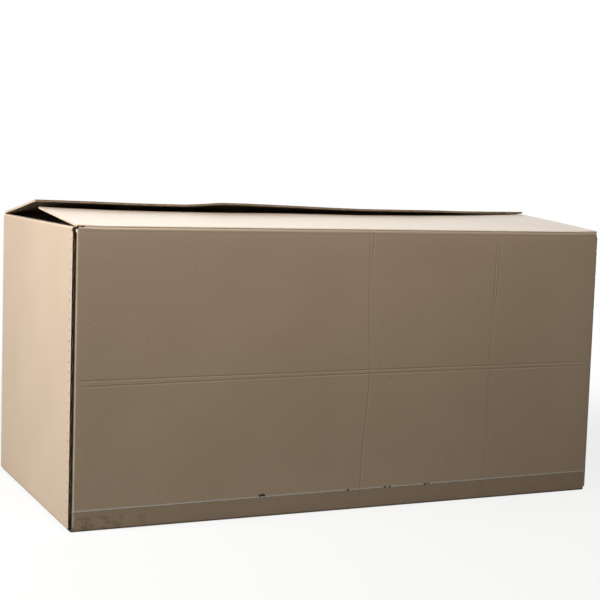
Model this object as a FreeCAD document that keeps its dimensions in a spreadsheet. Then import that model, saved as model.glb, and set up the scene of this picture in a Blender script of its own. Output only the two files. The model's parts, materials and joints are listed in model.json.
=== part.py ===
import FreeCAD, Part
import math
import os

import Sketcher

# A long carton of single-wall corrugated board, slotted at its corners.
# Its bottom is closed and taped. Its end flaps are folded down inside, and its two long
# top flaps lie almost closed, each turning on the top edge of its own wall.
# X runs along the long walls, Y from the front wall to the back wall, and Z is up.
# The origin is at the middle of the footprint, on the surface that the carton stands on.

doc = FreeCAD.newDocument("corrugated_carton")
sheet = doc.addObject("Spreadsheet::Sheet", "Sizes")

# Driving sizes: millimetres, and degrees for the two angles
sizes = {
    "carton_length": 1200,       # outside, over both end walls
    "carton_width": 580,         # outside, over front and back walls
    "flap_level": 587,           # height of the edge that the top flaps turn on
    "board": 4,                  # thickness of the corrugated board
    "score_crush": 1,            # what a scored fold loses of the board's thickness
    "top_fold_radius": 8,        # outer radius of the long top folds, soft from use
    "layer_gap": 0.3,            # air between two sheets that lie on each other
    "hinge_gap": 0.5,            # air between a wall's top and a flap that lies flat
    "corner_slot": 6,            # how far a flap's side edge stands inside the corner
    "bottom_seam": 2,            # gap between the two long bottom flaps
    "end_flap_reach": 286,       # length of the four end flaps
    "joint_gap": 2,              # gap beside the raw edge at the glued corner
    "raw_edge_setback": 1,       # the raw edge lies this far behind the front face
    "tab_width": 38,             # glue tab inside the left end wall
    "glue_width": 20,            # width of the tab that is glued down
    "tab_shoulder": 14,          # how far the tab stops short of the walls' height
    "hem_clearance": 0.5,        # air between the folded-in end flap and the glue tab
    "flap_gap": 4,               # gap between the long top flaps when both lie flat
    "flap_seam_shift": 6,        # that gap lies this far behind the middle
    "flap_end_gap": 2,           # the top flaps stop this far inside the right corner
    "front_flap_start": 1,       # and the front one this far inside its left fold
    "front_flap_angle": 5,       # the front flap stands this far above flat
    "back_flap_angle": 8,        # the back flap stands this far above flat
    "crease_depth": 0.6,         # creases left from folding the empty carton small
    "crease_width": 2.5,
    "crease_pitch": 9,           # between the two lines of the crease at mid height
    "crease_drop": 5,            # that crease lies this far below mid height
    "first_crease_top": 30,      # upright crease, to the right of the middle, at its top
    "first_crease_foot": 22,     # and at its foot
    "second_crease_top": 259,    # upright crease, from the right corner, at its top
    "second_crease_foot": 281,   # and at its foot
    "tape_thickness": 0.3,
    "tape_rise": 42,             # the edge tape's height on the front wall
    "tape_under": 33,            # its width under the bottom
    "seam_tape_width": 50,
    "seam_tape_margin": 12,      # the seam tape stops this far inside the ends
}
for row, (name, size) in enumerate(sizes.items(), start=1):
    sheet.set(f"A{row}", name)
    sheet.set(f"B{row}", str(size))
    sheet.setAlias(f"B{row}", name)
doc.recompute()

# Places that several pieces share, written as expressions of the sheet
half_length = "(Sizes.carton_length / 2)"
half_width = "(Sizes.carton_width / 2)"
inside_x = f"({half_length} - Sizes.board)"
inside_y = f"({half_width} - Sizes.board)"
front_fold_x = f"({inside_x} - Sizes.joint_gap)"
fold_radius = "(Sizes.board - Sizes.score_crush)"
mitre = "(Sizes.top_fold_radius * (1 - cos(45 deg)))"
ends_top = "(Sizes.flap_level - Sizes.board - Sizes.hinge_gap)"
ends_bottom = "(Sizes.board + Sizes.layer_gap)"
ring_bottom = f"({ends_bottom} + {fold_radius})"
ring_top = f"({ends_top} - Sizes.board - {fold_radius})"
hem_gap = "(Sizes.board + Sizes.joint_gap + Sizes.hem_clearance)"
hem_inside = f"({inside_x} - {hem_gap})"
hem_reach = f"({hem_inside} - Sizes.board)"
slot_x = f"({half_length} - Sizes.corner_slot)"
slot_y = f"({half_width} - Sizes.corner_slot)"


def millimetres(expression):
    """The value that an expression of the sheet has now."""
    return float(sheet.evalExpression(expression))


def new_body(label):
    """An empty body that carries the name of its piece."""
    body = doc.addObject("PartDesign::Body", label)
    body.Label = label
    return body


def new_sketch(body, name, plane, start):
    """A sketch parallel to one of the body's own planes, `start` along that plane's normal."""
    sketch = body.newObject("Sketcher::SketchObject", name)
    support = next(item for item in body.Origin.OriginFeatures if item.Role == plane)
    sketch.AttachmentSupport = [(support, "")]
    sketch.MapMode = "FlatFace"
    sketch.setExpression("AttachmentOffset.Base.z", start)
    return sketch


def bend(start, end, radius):
    """The arc from start to end, turning right if radius is above 0 and left if below."""
    middle = (start + end) / 2
    chord = end - start
    rise = math.sqrt(max(radius * radius - (chord.Length / 2) ** 2, 0))
    sideways = FreeCAD.Vector(chord.y, -chord.x, 0).normalize()
    centre = middle + sideways * math.copysign(rise, radius)
    circle = Part.Circle(centre, FreeCAD.Vector(0, 0, 1), abs(radius))
    ends = (end, start) if radius > 0 else (start, end)
    angles = [math.atan2(point.y - centre.y, point.x - centre.x) for point in ends]
    return Part.ArcOfCircle(circle, angles[0], angles[1])


def draw_outline(sketch, corners):
    """Draw one closed outline, each corner tied to the sheet.

    A corner is (x, y). It is (x, y, radius) where the way to the next corner is a bend to
    the right, and (x, y, radius, "left") where it is a bend to the left.
    """
    points = [FreeCAD.Vector(millimetres(c[0]), millimetres(c[1]), 0) for c in corners]
    entering = {}
    leaving = {}
    for step, corner in enumerate(corners):
        start = points[step]
        end = points[(step + 1) % len(points)]
        turns_left = len(corner) > 3
        if len(corner) == 2:
            index = sketch.addGeometry(Part.LineSegment(start, end))
        else:
            radius = millimetres(corner[2])
            index = sketch.addGeometry(bend(start, end, -radius if turns_left else radius))
            at = sketch.addConstraint(Sketcher.Constraint("Radius", index, radius))
            sketch.setExpression(f"Constraints[{at}]", corner[2])
        turns_right = len(corner) == 3
        entering[step] = (index, 2 if turns_right else 1)
        leaving[step] = (index, 1 if turns_right else 2)
    for step, corner in enumerate(corners):
        previous = leaving[(step - 1) % len(corners)]
        here = entering[step]
        sketch.addConstraint(Sketcher.Constraint("Coincident", *previous, *here))
        for kind, expression in zip(("DistanceX", "DistanceY"), corner[:2]):
            distance = Sketcher.Constraint(kind, -1, 1, *here, millimetres(expression))
            at = sketch.addConstraint(distance)
            sketch.setExpression(f"Constraints[{at}]", expression)


def rectangle(low_x, high_x, low_y, high_y):
    """The four corners of a rectangle."""
    return [(low_x, low_y), (low_x, high_y), (high_x, high_y), (high_x, low_y)]


def extrude(body, name, sketch, length):
    """Add the sketch's outlines, drawn out by length along its normal."""
    feature = body.newObject("PartDesign::Pad", name)
    feature.Profile = sketch
    feature.setExpression("Length", length)
    doc.recompute()
    return feature


def cut(body, name, sketch, length, along_normal=False):
    """Take the sketch's outlines out of the body, and make sure that something went."""
    before = body.Shape.Volume
    feature = body.newObject("PartDesign::Pocket", name)
    feature.Profile = sketch
    feature.Reversed = along_normal
    feature.setExpression("Length", length)
    doc.recompute()
    if body.Shape.Volume >= before:
        raise RuntimeError(f"{name} cut nothing")
    return feature


# The folded sheet: four walls, glue tab, bottom flaps and the end flaps folded inside
carton = new_body("carton_body")

# The wall ring is open at the front left corner, where the left end wall stops in a raw
# edge and the front wall is folded back behind it.
ring = new_sketch(carton, "wall_ring_outline", "XY_Plane", ring_bottom)
draw_outline(ring, [
    (f"-{half_length}", f"-{half_width} + Sizes.raw_edge_setback"),
    (f"-{half_length}", f"{half_width} - {fold_radius}", fold_radius),
    (f"-{half_length} + {fold_radius}", half_width),
    (f"{half_length} - {fold_radius}", half_width, fold_radius),
    (half_length, f"{half_width} - {fold_radius}"),
    (half_length, f"-{half_width} + {fold_radius}", fold_radius),
    (f"{half_length} - {fold_radius}", f"-{half_width}"),
    (f"-{front_fold_x} + {fold_radius}", f"-{half_width}", fold_radius),
    (f"-{front_fold_x}", f"-{half_width} + {fold_radius}"),
    (f"-{front_fold_x}", f"-{inside_y}"),
    (inside_x, f"-{inside_y}"),
    (inside_x, inside_y),
    (f"-{inside_x}", inside_y),
    (f"-{inside_x}", f"-{half_width} + Sizes.raw_edge_setback"),
])
extrude(carton, "wall_ring", ring, f"{ring_top} - {ring_bottom}")

# The glue tab leaves the front wall's fold, crosses the gap and lies on the end wall.
tab = new_sketch(carton, "glue_tab_outline", "XY_Plane", f"{ring_bottom} + Sizes.tab_shoulder")
tab_end = f"-{half_width} + Sizes.tab_width"
glue_start = f"-{half_width} + Sizes.tab_width - Sizes.glue_width"
draw_outline(tab, [
    (f"-{front_fold_x}", f"-{inside_y}"),
    (f"-{inside_x}", glue_start),
    (f"-{inside_x}", tab_end),
    (f"-{inside_x} + Sizes.board", tab_end),
    (f"-{inside_x} + Sizes.board", glue_start),
    (f"-{front_fold_x} + Sizes.board", f"-{inside_y}"),
])
extrude(carton, "glue_tab", tab, f"{ring_top} - {ring_bottom} - 2 * Sizes.tab_shoulder")

# Front and back walls end in the outer half of a rounded fold. From its middle a mitre runs
# down to the wall's inside, so that the flap can lie flat and can turn right over.
def long_wall_top(side):
    """The top of a long wall, seen from the right end. Side is + or -."""
    radius = "Sizes.top_fold_radius"
    bend_way = (radius,) if side == "-" else (radius, "left")
    return [
        (f"{side}{half_width}", ring_top),
        (f"{side}{half_width}", f"Sizes.flap_level - {radius}") + bend_way,
        (f"{side}({half_width} - {mitre})", f"Sizes.flap_level - {mitre} - Sizes.hinge_gap / 2"),
        (f"{side}{inside_y}", f"Sizes.flap_level - Sizes.board - Sizes.hinge_gap / 2"),
        (f"{side}{inside_y}", ring_top),
    ]


right_end = f"{half_length} - {fold_radius}"
for side, left_end in (("-", f"{front_fold_x} - {fold_radius}"), ("+", right_end)):
    name = "front_wall_top" if side == "-" else "back_wall_top"
    rim = new_sketch(carton, f"{name}_outline", "YZ_Plane", f"-({left_end})")
    draw_outline(rim, long_wall_top(side))
    extrude(carton, name, rim, f"{left_end} + {right_end}")


def long_bottom_flap(side):
    """The fold under a long wall and its bottom flap, seen from the right end."""
    bend_way = (fold_radius, "left") if side == "-" else (fold_radius,)
    inner = f"{side}Sizes.bottom_seam / 2"
    return [
        (f"{side}{half_width}", ring_bottom),
        (f"{side}{half_width}", fold_radius) + bend_way,
        (f"{side}({half_width} - {fold_radius})", "0"),
        (inner, "0"),
        (inner, "Sizes.board"),
        (f"{side}{inside_y}", "Sizes.board"),
        (f"{side}{inside_y}", ring_bottom),
    ]


bottom = new_sketch(carton, "long_bottom_flaps_outline", "YZ_Plane", f"-{slot_x}")
draw_outline(bottom, long_bottom_flap("-"))
draw_outline(bottom, long_bottom_flap("+"))
extrude(carton, "long_bottom_flaps", bottom, f"2 * {slot_x}")


def end_bottom_flap(side):
    """The fold under an end wall and its bottom flap, seen from the front."""
    bend_way = (fold_radius, "left") if side == "-" else (fold_radius,)
    inner = f"{side}({half_length} - Sizes.end_flap_reach)"
    flap_top = f"{ends_bottom} + Sizes.board"
    return [
        (f"{side}{half_length}", ring_bottom) + bend_way,
        (f"{side}({half_length} - {fold_radius})", ends_bottom),
        (inner, ends_bottom),
        (inner, flap_top),
        (f"{side}{inside_x}", flap_top),
        (f"{side}{inside_x}", ring_bottom),
    ]


ends = new_sketch(carton, "end_bottom_flaps_outline", "XZ_Plane", f"-{slot_y}")
draw_outline(ends, end_bottom_flap("-"))
draw_outline(ends, end_bottom_flap("+"))
extrude(carton, "end_bottom_flaps", ends, f"2 * {slot_y}")


def end_top_flap(side):
    """An end wall's top, folded over, and its flap hanging down inside."""
    bend_way = (fold_radius,) if side == "-" else (fold_radius, "left")
    foot = f"{ends_top} - Sizes.end_flap_reach"
    return [
        (f"{side}{half_length}", ring_top),
        (f"{side}{half_length}", f"{ends_top} - {fold_radius}") + bend_way,
        (f"{side}({half_length} - {fold_radius})", ends_top),
        (f"{side}({hem_reach} + {fold_radius})", ends_top) + bend_way,
        (f"{side}{hem_reach}", f"{ends_top} - {fold_radius}"),
        (f"{side}{hem_reach}", foot),
        (f"{side}{hem_inside}", foot),
        (f"{side}{hem_inside}", f"{ends_top} - Sizes.board"),
        (f"{side}{inside_x}", f"{ends_top} - Sizes.board"),
        (f"{side}{inside_x}", ring_top),
    ]


hems = new_sketch(carton, "end_top_flaps_outline", "XZ_Plane", f"-{slot_y}")
draw_outline(hems, end_top_flap("-"))
draw_outline(hems, end_top_flap("+"))
extrude(carton, "end_top_flaps", hems, f"2 * {slot_y}")

# Creases in the front wall: a pair across it at mid height, and two upright ones
level = new_sketch(carton, "level_creases_outline", "XZ_Plane", half_width)
upper_line = "(Sizes.flap_level / 2 - Sizes.crease_drop + Sizes.crease_pitch / 2)"
lower_line = f"({upper_line} - Sizes.crease_pitch)"
for line in (upper_line, lower_line):
    draw_outline(level, rectangle(f"-{front_fold_x} + {fold_radius}", right_end,
                                  f"{line} - Sizes.crease_width / 2",
                                  f"{line} + Sizes.crease_width / 2"))
cut(carton, "level_creases", level, "Sizes.crease_depth")

first_crease = "Sizes.first_crease_top"
first_foot = "Sizes.first_crease_foot"
second_crease = f"({half_length} - Sizes.second_crease_top)"
second_foot = f"({half_length} - Sizes.second_crease_foot)"
upright = new_sketch(carton, "upright_creases_outline", "XZ_Plane", half_width)
for top, foot in ((first_crease, first_foot), (second_crease, second_foot)):
    draw_outline(upright, [
        (f"{foot} - Sizes.crease_width / 2", ring_bottom),
        (f"{top} - Sizes.crease_width / 2", ring_top),
        (f"{top} + Sizes.crease_width / 2", ring_top),
        (f"{foot} + Sizes.crease_width / 2", ring_bottom),
    ])
cut(carton, "upright_creases", upright, "Sizes.crease_depth")

# Clear tape round the bottom front edge, pressed flush into the board
inner_bend = f"({fold_radius} - Sizes.tape_thickness)"
tape_outline = [
    (f"-{half_width}", "Sizes.tape_rise"),
    (f"-{half_width}", fold_radius, fold_radius, "left"),
    (f"-{half_width} + {fold_radius}", "0"),
    (f"-{half_width} + Sizes.tape_under", "0"),
    (f"-{half_width} + Sizes.tape_under", "Sizes.tape_thickness"),
    (f"-{half_width} + {fold_radius}", "Sizes.tape_thickness", inner_bend),
    (f"-{half_width} + Sizes.tape_thickness", fold_radius),
    (f"-{half_width} + Sizes.tape_thickness", "Sizes.tape_rise"),
]
tape_start = f"-{slot_x}"
tape_length = f"2 * {slot_x}"
tape_seat = new_sketch(carton, "edge_tape_seat_outline", "YZ_Plane", tape_start)
draw_outline(tape_seat, tape_outline)
cut(carton, "edge_tape_seat", tape_seat, tape_length, along_normal=True)

# Tape over the seam of the long bottom flaps, flush in the same way
seam_outline = rectangle("-Sizes.seam_tape_width / 2", "Sizes.seam_tape_width / 2",
                         "0", "Sizes.tape_thickness")
seam_start = f"-({slot_x} - Sizes.seam_tape_margin)"
seam_length = f"2 * ({slot_x} - Sizes.seam_tape_margin)"
seam_seat = new_sketch(carton, "seam_tape_seat_outline", "YZ_Plane", seam_start)
draw_outline(seam_seat, seam_outline)
cut(carton, "seam_tape_seat", seam_seat, seam_length, along_normal=True)

edge_tape = new_body("edge_tape")
edge_sketch = new_sketch(edge_tape, "edge_tape_outline", "YZ_Plane", tape_start)
draw_outline(edge_sketch, tape_outline)
extrude(edge_tape, "edge_tape_strip", edge_sketch, tape_length)

seam_tape = new_body("bottom_seam_tape")
seam_sketch = new_sketch(seam_tape, "seam_tape_outline", "YZ_Plane", seam_start)
draw_outline(seam_sketch, seam_outline)
extrude(seam_tape, "seam_tape_strip", seam_sketch, seam_length)


def top_flap(label, side, width, start, length):
    """A long top flap, drawn flat from the edge that it turns on.

    Side is the sign of the Y direction in which the flap reaches from that edge.
    """
    radius = "Sizes.top_fold_radius"
    body = new_body(label)
    sketch = new_sketch(body, f"{label}_outline", "YZ_Plane", start)
    bend_way = (radius,) if side == "+" else (radius, "left")
    draw_outline(sketch, [
        (f"{side}({mitre} + Sizes.hinge_gap / 2)", f"-{mitre}") + bend_way,
        (f"{side}{radius}", "0"),
        (f"{side}{width}", "0"),
        (f"{side}{width}", "-Sizes.board"),
        (f"{side}(Sizes.board + Sizes.hinge_gap / 2)", "-Sizes.board"),
    ])
    extrude(body, f"{label}_sheet", sketch, length)
    return body


top_right = f"({half_length} - Sizes.flap_end_gap)"
front_left = f"({front_fold_x} - Sizes.front_flap_start)"
front_width = f"({half_width} + Sizes.flap_seam_shift - Sizes.flap_gap / 2)"
back_width = f"({half_width} - Sizes.flap_seam_shift - Sizes.flap_gap / 2)"
front_flap = top_flap("front_top_flap", "+", front_width, f"-{front_left}",
                      f"{front_left} + {top_right}")
back_flap = top_flap("back_top_flap", "-", back_width, f"-{top_right}", f"2 * {top_right}")

# The upright creases run on across the front flap.
flap_creases = new_sketch(front_flap, "front_flap_creases_outline", "XY_Plane", "0")
for line in (first_crease, second_crease):
    draw_outline(flap_creases, rectangle(f"{line} - Sizes.crease_width / 2",
                                         f"{line} + Sizes.crease_width / 2",
                                         "Sizes.top_fold_radius", front_width))
cut(front_flap, "front_flap_creases", flap_creases, "Sizes.crease_depth")

# Both flaps are set on their edges and stand a little open.
for body, side, turn, angle in ((front_flap, "-", 1, "Sizes.front_flap_angle"),
                                (back_flap, "", -1, "Sizes.back_flap_angle")):
    body.Placement = FreeCAD.Placement(FreeCAD.Vector(0, 0, 0),
                                       FreeCAD.Rotation(FreeCAD.Vector(turn, 0, 0), 1))
    body.setExpression("Placement.Base.y", f"{side}{half_width}")
    body.setExpression("Placement.Base.z", "Sizes.flap_level")
    body.setExpression("Placement.Rotation.Angle", f"{angle} * 1 deg")
doc.recompute()

# Every feature has to be sound before anything is written.
for item in doc.Objects:
    if "Invalid" in item.State or "Error" in item.State:
        raise RuntimeError(f"{item.Label} failed: {item.State}")

os.makedirs("parts", exist_ok=True)
for body in (carton, front_flap, back_flap, edge_tape, seam_tape):
    shape = body.Shape
    if shape.isNull() or not shape.isValid() or len(shape.Solids) != 1:
        raise RuntimeError(f"{body.Label} is not one sound solid")
    shape.exportStep(f"parts/{body.Label}.step")
    box = shape.BoundBox
    print(f"{body.Label}: {shape.Volume / 1000:.1f} cm3, "
          f"x {box.XMin:.2f} {box.XMax:.2f}, y {box.YMin:.2f} {box.YMax:.2f}, "
          f"z {box.ZMin:.2f} {box.ZMax:.2f}")
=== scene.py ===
# %% [markdown]
# # A long corrugated carton
#
# The real carton is one big sheet of corrugated board. It is slotted, creased, glued at one
# corner, stood up, and folded shut at the bottom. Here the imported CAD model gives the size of
# every panel and the line that each top flap turns on. The board is made again as one thin
# skin that bends round its folds, because real board bows, carries old creases and shows its
# flutes wherever it is cut.

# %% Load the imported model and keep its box
import json
import math

import bmesh
import bpy
from mathutils import Matrix, Vector, noise


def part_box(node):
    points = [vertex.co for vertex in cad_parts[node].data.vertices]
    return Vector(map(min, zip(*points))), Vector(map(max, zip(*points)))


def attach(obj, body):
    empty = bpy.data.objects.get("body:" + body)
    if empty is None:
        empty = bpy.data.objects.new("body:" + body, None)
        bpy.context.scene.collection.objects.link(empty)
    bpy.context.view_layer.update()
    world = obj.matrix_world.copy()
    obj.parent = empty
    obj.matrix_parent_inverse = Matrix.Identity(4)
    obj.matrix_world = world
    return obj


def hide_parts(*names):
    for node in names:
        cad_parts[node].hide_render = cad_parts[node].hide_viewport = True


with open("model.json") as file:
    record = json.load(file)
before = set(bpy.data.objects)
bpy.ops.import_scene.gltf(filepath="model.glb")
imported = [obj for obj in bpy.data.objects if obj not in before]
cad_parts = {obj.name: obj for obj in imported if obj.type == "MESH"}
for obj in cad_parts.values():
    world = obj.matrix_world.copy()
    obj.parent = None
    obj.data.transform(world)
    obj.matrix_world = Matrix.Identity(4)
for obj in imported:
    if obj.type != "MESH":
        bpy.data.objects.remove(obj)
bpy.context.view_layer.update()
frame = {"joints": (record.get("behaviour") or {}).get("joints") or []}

# %% [markdown]
# ## Sizes
#
# The outer sizes are read from the frame, so this file follows the CAD model. The small
# sizes of the board are given once here, in metres, and every panel uses them.

# %% Sizes of the carton and its board
MM = 0.001
BOARD = 4 * MM
LINER = 0.45 * MM
FOLD = 4.5 * MM
TOP_FOLD = 8 * MM
FLUTE = 7.7 * MM
TAPE_ROOM = 0.3 * MM
NEAR = 1e-7

# Depth of the slot between the liners: at cuts across the flutes and at the glued corner's raw
# edge, at other cuts along the flutes, at the free edges of the long top flaps, and where the
# skin ends in a fold and isn't cut at all
RAW_SLOT = 6 * MM
ALONG_SLOT = 0.5 * MM
FLAP_SLOT = 2.6 * MM
FOLDED_SLOT = 0.02 * MM

carton_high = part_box("carton_body")[1]
HALF_LENGTH = round(carton_high.x, 5)
HALF_WIDTH = round(carton_high.y, 5) - TAPE_ROOM
joints = {joint["child"]: joint for joint in frame["joints"]}
LEVEL = joints["front_flap"]["pos_m"][2]
HINGE_Y = abs(joints["front_flap"]["pos_m"][1])
CREST = LEVEL - BOARD - 0.5 * MM
INNER_FLOOR = BOARD + 0.3 * MM

CORNER_SLOT = 6 * MM
JOINT_GAP = 3 * MM
RAW_SETBACK = 1 * MM
TAB_WIDTH = 38 * MM
GLUE_WIDTH = 20 * MM
TAB_SHOULDER = 14 * MM
END_FLAP_REACH = 286 * MM
HEM_CLEARANCE = 0.5 * MM
BOTTOM_SEAM = 2 * MM

RING_LOW = INNER_FLOOR + FOLD
RING_HIGH = CREST - BOARD - FOLD
FRONT_FOLD_X = HALF_LENGTH - BOARD - JOINT_GAP
SLOT_X = HALF_LENGTH - CORNER_SLOT
SLOT_Y = HALF_WIDTH - CORNER_SLOT
print("half length", HALF_LENGTH, "half width", HALF_WIDTH, "flap level", LEVEL)

# %% [markdown]
# ## Camera
#
# The camera is placed first, so that every later step can be judged in the same view. It
# stands low, in front and to the left, and looks along the carton with a long lens, which
# keeps the far end from shrinking too much.

# %% Camera
CAMERA_PLACE = Vector((-1.2861, -2.7716, 0.7042))
CAMERA_TURN = 24.993
CAMERA_DIP = 5.488
CAMERA_ROLL = 1.878
CAMERA_LENS = 81.86


def placed(name, data):
    """A new object for this data, at the origin of the scene."""
    thing = bpy.data.objects.new(name, data)
    bpy.context.scene.collection.objects.link(thing)
    return thing


camera_data = bpy.data.cameras.new("camera")
camera_data.lens = CAMERA_LENS
camera_data.sensor_width = 36
camera = placed("camera", camera_data)
camera.matrix_world = (Matrix.Translation(CAMERA_PLACE)
                       @ Matrix.Rotation(math.radians(-CAMERA_TURN), 4, "Z")
                       @ Matrix.Rotation(math.radians(90 - CAMERA_DIP), 4, "X")
                       @ Matrix.Rotation(math.radians(CAMERA_ROLL), 4, "Z"))
bpy.context.scene.camera = camera
print("camera at", tuple(CAMERA_PLACE), "lens", CAMERA_LENS)

# %% [markdown]
# ## The board as a skin
#
# A box could be modelled from cubes, but then every fold would be a hard corner and the
# board would have no cut edges. Real board is a sheet, so the mesh starts as its outer face
# only. Points that two panels share are welded as they are added. Each point also keeps the
# way into the board, for its thickness, and its place on the flat sheet, which later becomes
# the UV map that the flutes and fibres follow.

# %% A skin that welds as it grows
class Skin:
    """The outer face of folded board, before it gets its thickness."""

    def __init__(self):
        self.points = []
        self.inward = []
        self.flat = []
        self.faces = []
        self.creased = []
        self.index = {}
        self.rim_depth = {}

    def point(self, place, inward, flat, creased=0.0):
        key = tuple(round(c, 6) for c in place)
        if key not in self.index:
            self.index[key] = len(self.points)
            self.points.append(Vector(place))
            self.inward.append(Vector(inward).normalized())
            self.flat.append(flat)
            self.creased.append(creased)
        return self.index[key]

    def grid(self, rows, folded_end=False):
        """Add rows of (place, inward, flat, creased) and join them with outward faces.

        A folded end is the middle of a fold, where the board goes on as another piece.
        """
        ids = [[self.point(*cell) for cell in row] for row in rows]
        for low, high in zip(ids, ids[1:]):
            for a, b, c, d in zip(low, low[1:], high[1:], high):
                corners = [self.points[i] for i in (a, b, c, d)]
                across = (corners[2] - corners[0]).cross(corners[3] - corners[1])
                face = (a, b, c, d) if across.dot(self.inward[a]) < 0 else (d, c, b, a)
                self.faces.append(face)
        if folded_end:
            self.rim_depth.update((i, FOLDED_SLOT) for i in ids[-1])
        return ids


def spaced(low, high, pitch, keep=()):
    """Places from low to high about a pitch apart, with the places in keep among them."""
    count = max(1, round((high - low) / pitch))
    places = [low + (high - low) * i / count for i in range(count + 1)]
    keep = sorted(k for k in keep if low <= k <= high)
    inside = [p for p in places[1:-1] if all(abs(p - k) > 0.4 * pitch for k in keep)]
    ends = [p for p in (low, high) if all(abs(p - k) > NEAR for k in keep)]
    return sorted(inside + ends + keep)


print("skin ready")

# %% [markdown]
# A fold is easiest to describe as a walk: straight on, turn, straight on. The walker below
# leaves points along its way, with the side that faces into the carton, so that a wall, its
# bend and its flap are a single line.

# %% A walker that draws folded profiles
class Walk:
    """A profile of the board's outer face. Side is +1 if the carton is on the left."""

    def __init__(self, start, heading, side, along=0.0):
        self.at = Vector(start)
        self.heading = math.radians(heading)
        self.side = side
        self.along = along
        self.steps = []
        self.mark()

    def mark(self):
        turn = self.heading + self.side * math.pi / 2
        inward = Vector((math.cos(turn), math.sin(turn)))
        self.steps.append((self.at.copy(), inward, self.along))

    def run(self, length, pitch=None, stops=None):
        """Go straight on, leaving a point at every stop."""
        start = self.at.copy()
        begun = self.along
        forward = Vector((math.cos(self.heading), math.sin(self.heading)))
        stops = stops or spaced(0, length, pitch or length)[1:]
        for stop in stops:
            self.at = start + forward * stop
            self.along = begun + stop
            self.mark()
        return self

    def bend(self, degrees, radius, count=8):
        """Turn left by so many degrees, or right if they are below 0."""
        turn = math.radians(degrees) / count
        chord = 2 * radius * math.sin(abs(turn) / 2)
        for _ in range(count):
            self.heading += turn / 2
            self.at = self.at + Vector((math.cos(self.heading), math.sin(self.heading))) * chord
            self.heading += turn / 2
            self.along += radius * abs(turn)
            self.mark()
        return self


print("walker ready")

# %% [markdown]
# ## Creases
#
# The empty carton was once folded small, so its front wall has two upright creases, which
# run on over the front flap, and a level pair at mid height. Board creases as two fine
# parallel grooves. The mesh has columns of points on each groove, and the columns wander
# with the crease, because a straight column could not follow it.

# %% Where the creases run
GROOVE = 1.7 * MM
GROOVE_DEPTH = 0.6 * MM
GROOVE_POINTS = (-4.1, -2.6, -1.7, -0.9, 0, 0.9, 1.7, 2.6, 4.1)
SCORE_HEIGHT = LEVEL - 12.5 * MM
SCORE_REACH = 6 * MM
SCORE_DEPTH = 0.2 * MM

# Each crease: (height, place along the front wall, distance between its grooves), all in mm
UPRIGHT_CREASES = (
    ((580, 30, 7.5), (478, 31, 4.5), (462, 29, 0.6), (345, 34, 0.3), (262, 37, 0.3),
     (130, 27, 0.3), (8, 22, 0.3)),
    ((580, 340, 8), (490, 338, 8), (435, 337, 6), (425, 333, 6), (330, 330, 4.4),
     (105, 332, 4), (8, 319, 5)),
)
# The level pair: (place along the wall, height of the upper groove, of the lower), in mm
LEVEL_CREASE = ((-560, 291, 280), (-70, 293, 285), (560, 294, 285.5))
# The rows of the mesh follow the level pair from where it is here, in metres
LEVEL_BASE = -0.07


def between(table, at):
    """The row of the table at a place, in metres, with smooth steps from row to row."""
    rows = sorted(table)
    at = at / MM
    if at <= rows[0][0]:
        return [value * MM for value in rows[0][1:]]
    for low, high in zip(rows, rows[1:]):
        if at <= high[0]:
            part = (at - low[0]) / (high[0] - low[0])
            return [(a + (b - a) * part) * MM for a, b in zip(low[1:], high[1:])]
    return [value * MM for value in rows[-1][1:]]


def smooth(value, low, high):
    """0 below low and 1 above high, with a soft step between."""
    part = min(max((value - low) / (high - low), 0), 1)
    return part * part * (3 - 2 * part)


def crease_columns():
    """Columns of points for the front wall, at the height where the creases start."""
    columns = []
    for crease in UPRIGHT_CREASES:
        middle, gap = between(crease, RING_HIGH)
        for side in (-1, 1):
            columns += [middle + side * gap / 2 + offset * MM for offset in GROOVE_POINTS]
    return columns


def level_rows():
    """Rows of points for the level pair, at the middle of the wall."""
    upper, lower = between(LEVEL_CREASE, LEVEL_BASE)
    return [height + offset * MM for height in (upper, lower) for offset in GROOVE_POINTS[1:-1]]


def groove(distance, reach=GROOVE):
    """1 on a groove's line, and 0 from its reach on."""
    return max(0, 1 - (distance / reach) ** 2) ** 2


def score(height):
    """How deep a long wall is pressed in just below its top fold."""
    return SCORE_DEPTH * groove(height - SCORE_HEIGHT, SCORE_REACH)


print("columns for creases:", len(crease_columns()), "rows:", len(level_rows()))

# %% [markdown]
# At its left end the front fold is torn open for the width of a thumb. The wall's half of the
# fold sinks there and the flap's half stands up, both in two humps, so that a dark slit shows.

# %% The torn fold
TEAR_START = -HALF_LENGTH + 4 * MM
TEAR_END = -HALF_LENGTH + 27 * MM
TEAR_HUMPS = 2.2
WALL_SINKS = 2.2 * MM
FLAP_RISES = 1.2 * MM


def tear(x):
    """How far the torn fold stands open, from 0 to 1."""
    part = (x - TEAR_START) / (TEAR_END - TEAR_START)
    if not 0 < part < 1:
        return 0
    return (0.4 + 0.6 * abs(math.sin(part * TEAR_HUMPS * math.pi))) * smooth(1 - part, 0, 0.3)


print("tear from", round(TEAR_START, 4), "to", round(TEAR_END, 4))

# %% [markdown]
# ## How the walls bow
#
# No wall of an empty carton is flat. Each bows in by a millimetre or two and waves a little.
# The bow is worked out from smooth noise and fades out at the folds, where the board is held.

# %% Bow and waves of the walls
MOST_BOW = 2.2 * MM
FRONT_WAVES = 3.0
LEFT_WAVES = 11.0
RIGHT_WAVES = 17.0
BACK_WAVES = 23.0


def bow(across, height, seed, half=HALF_LENGTH):
    """How far a wall stands inside its plane."""
    held = smooth(half - abs(across), 6 * MM, 0.12)
    held *= smooth(height, RING_LOW, RING_LOW + 0.1)
    held *= smooth(RING_HIGH - height, 0, 0.1)
    wave = noise.noise(Vector((across * 3.1, height * 3.7, seed)))
    ripple = noise.noise(Vector((across * 9, height * 8, seed + 7)))
    return MOST_BOW * held * (0.55 + 0.25 * wave + 0.06 * ripple)


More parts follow.
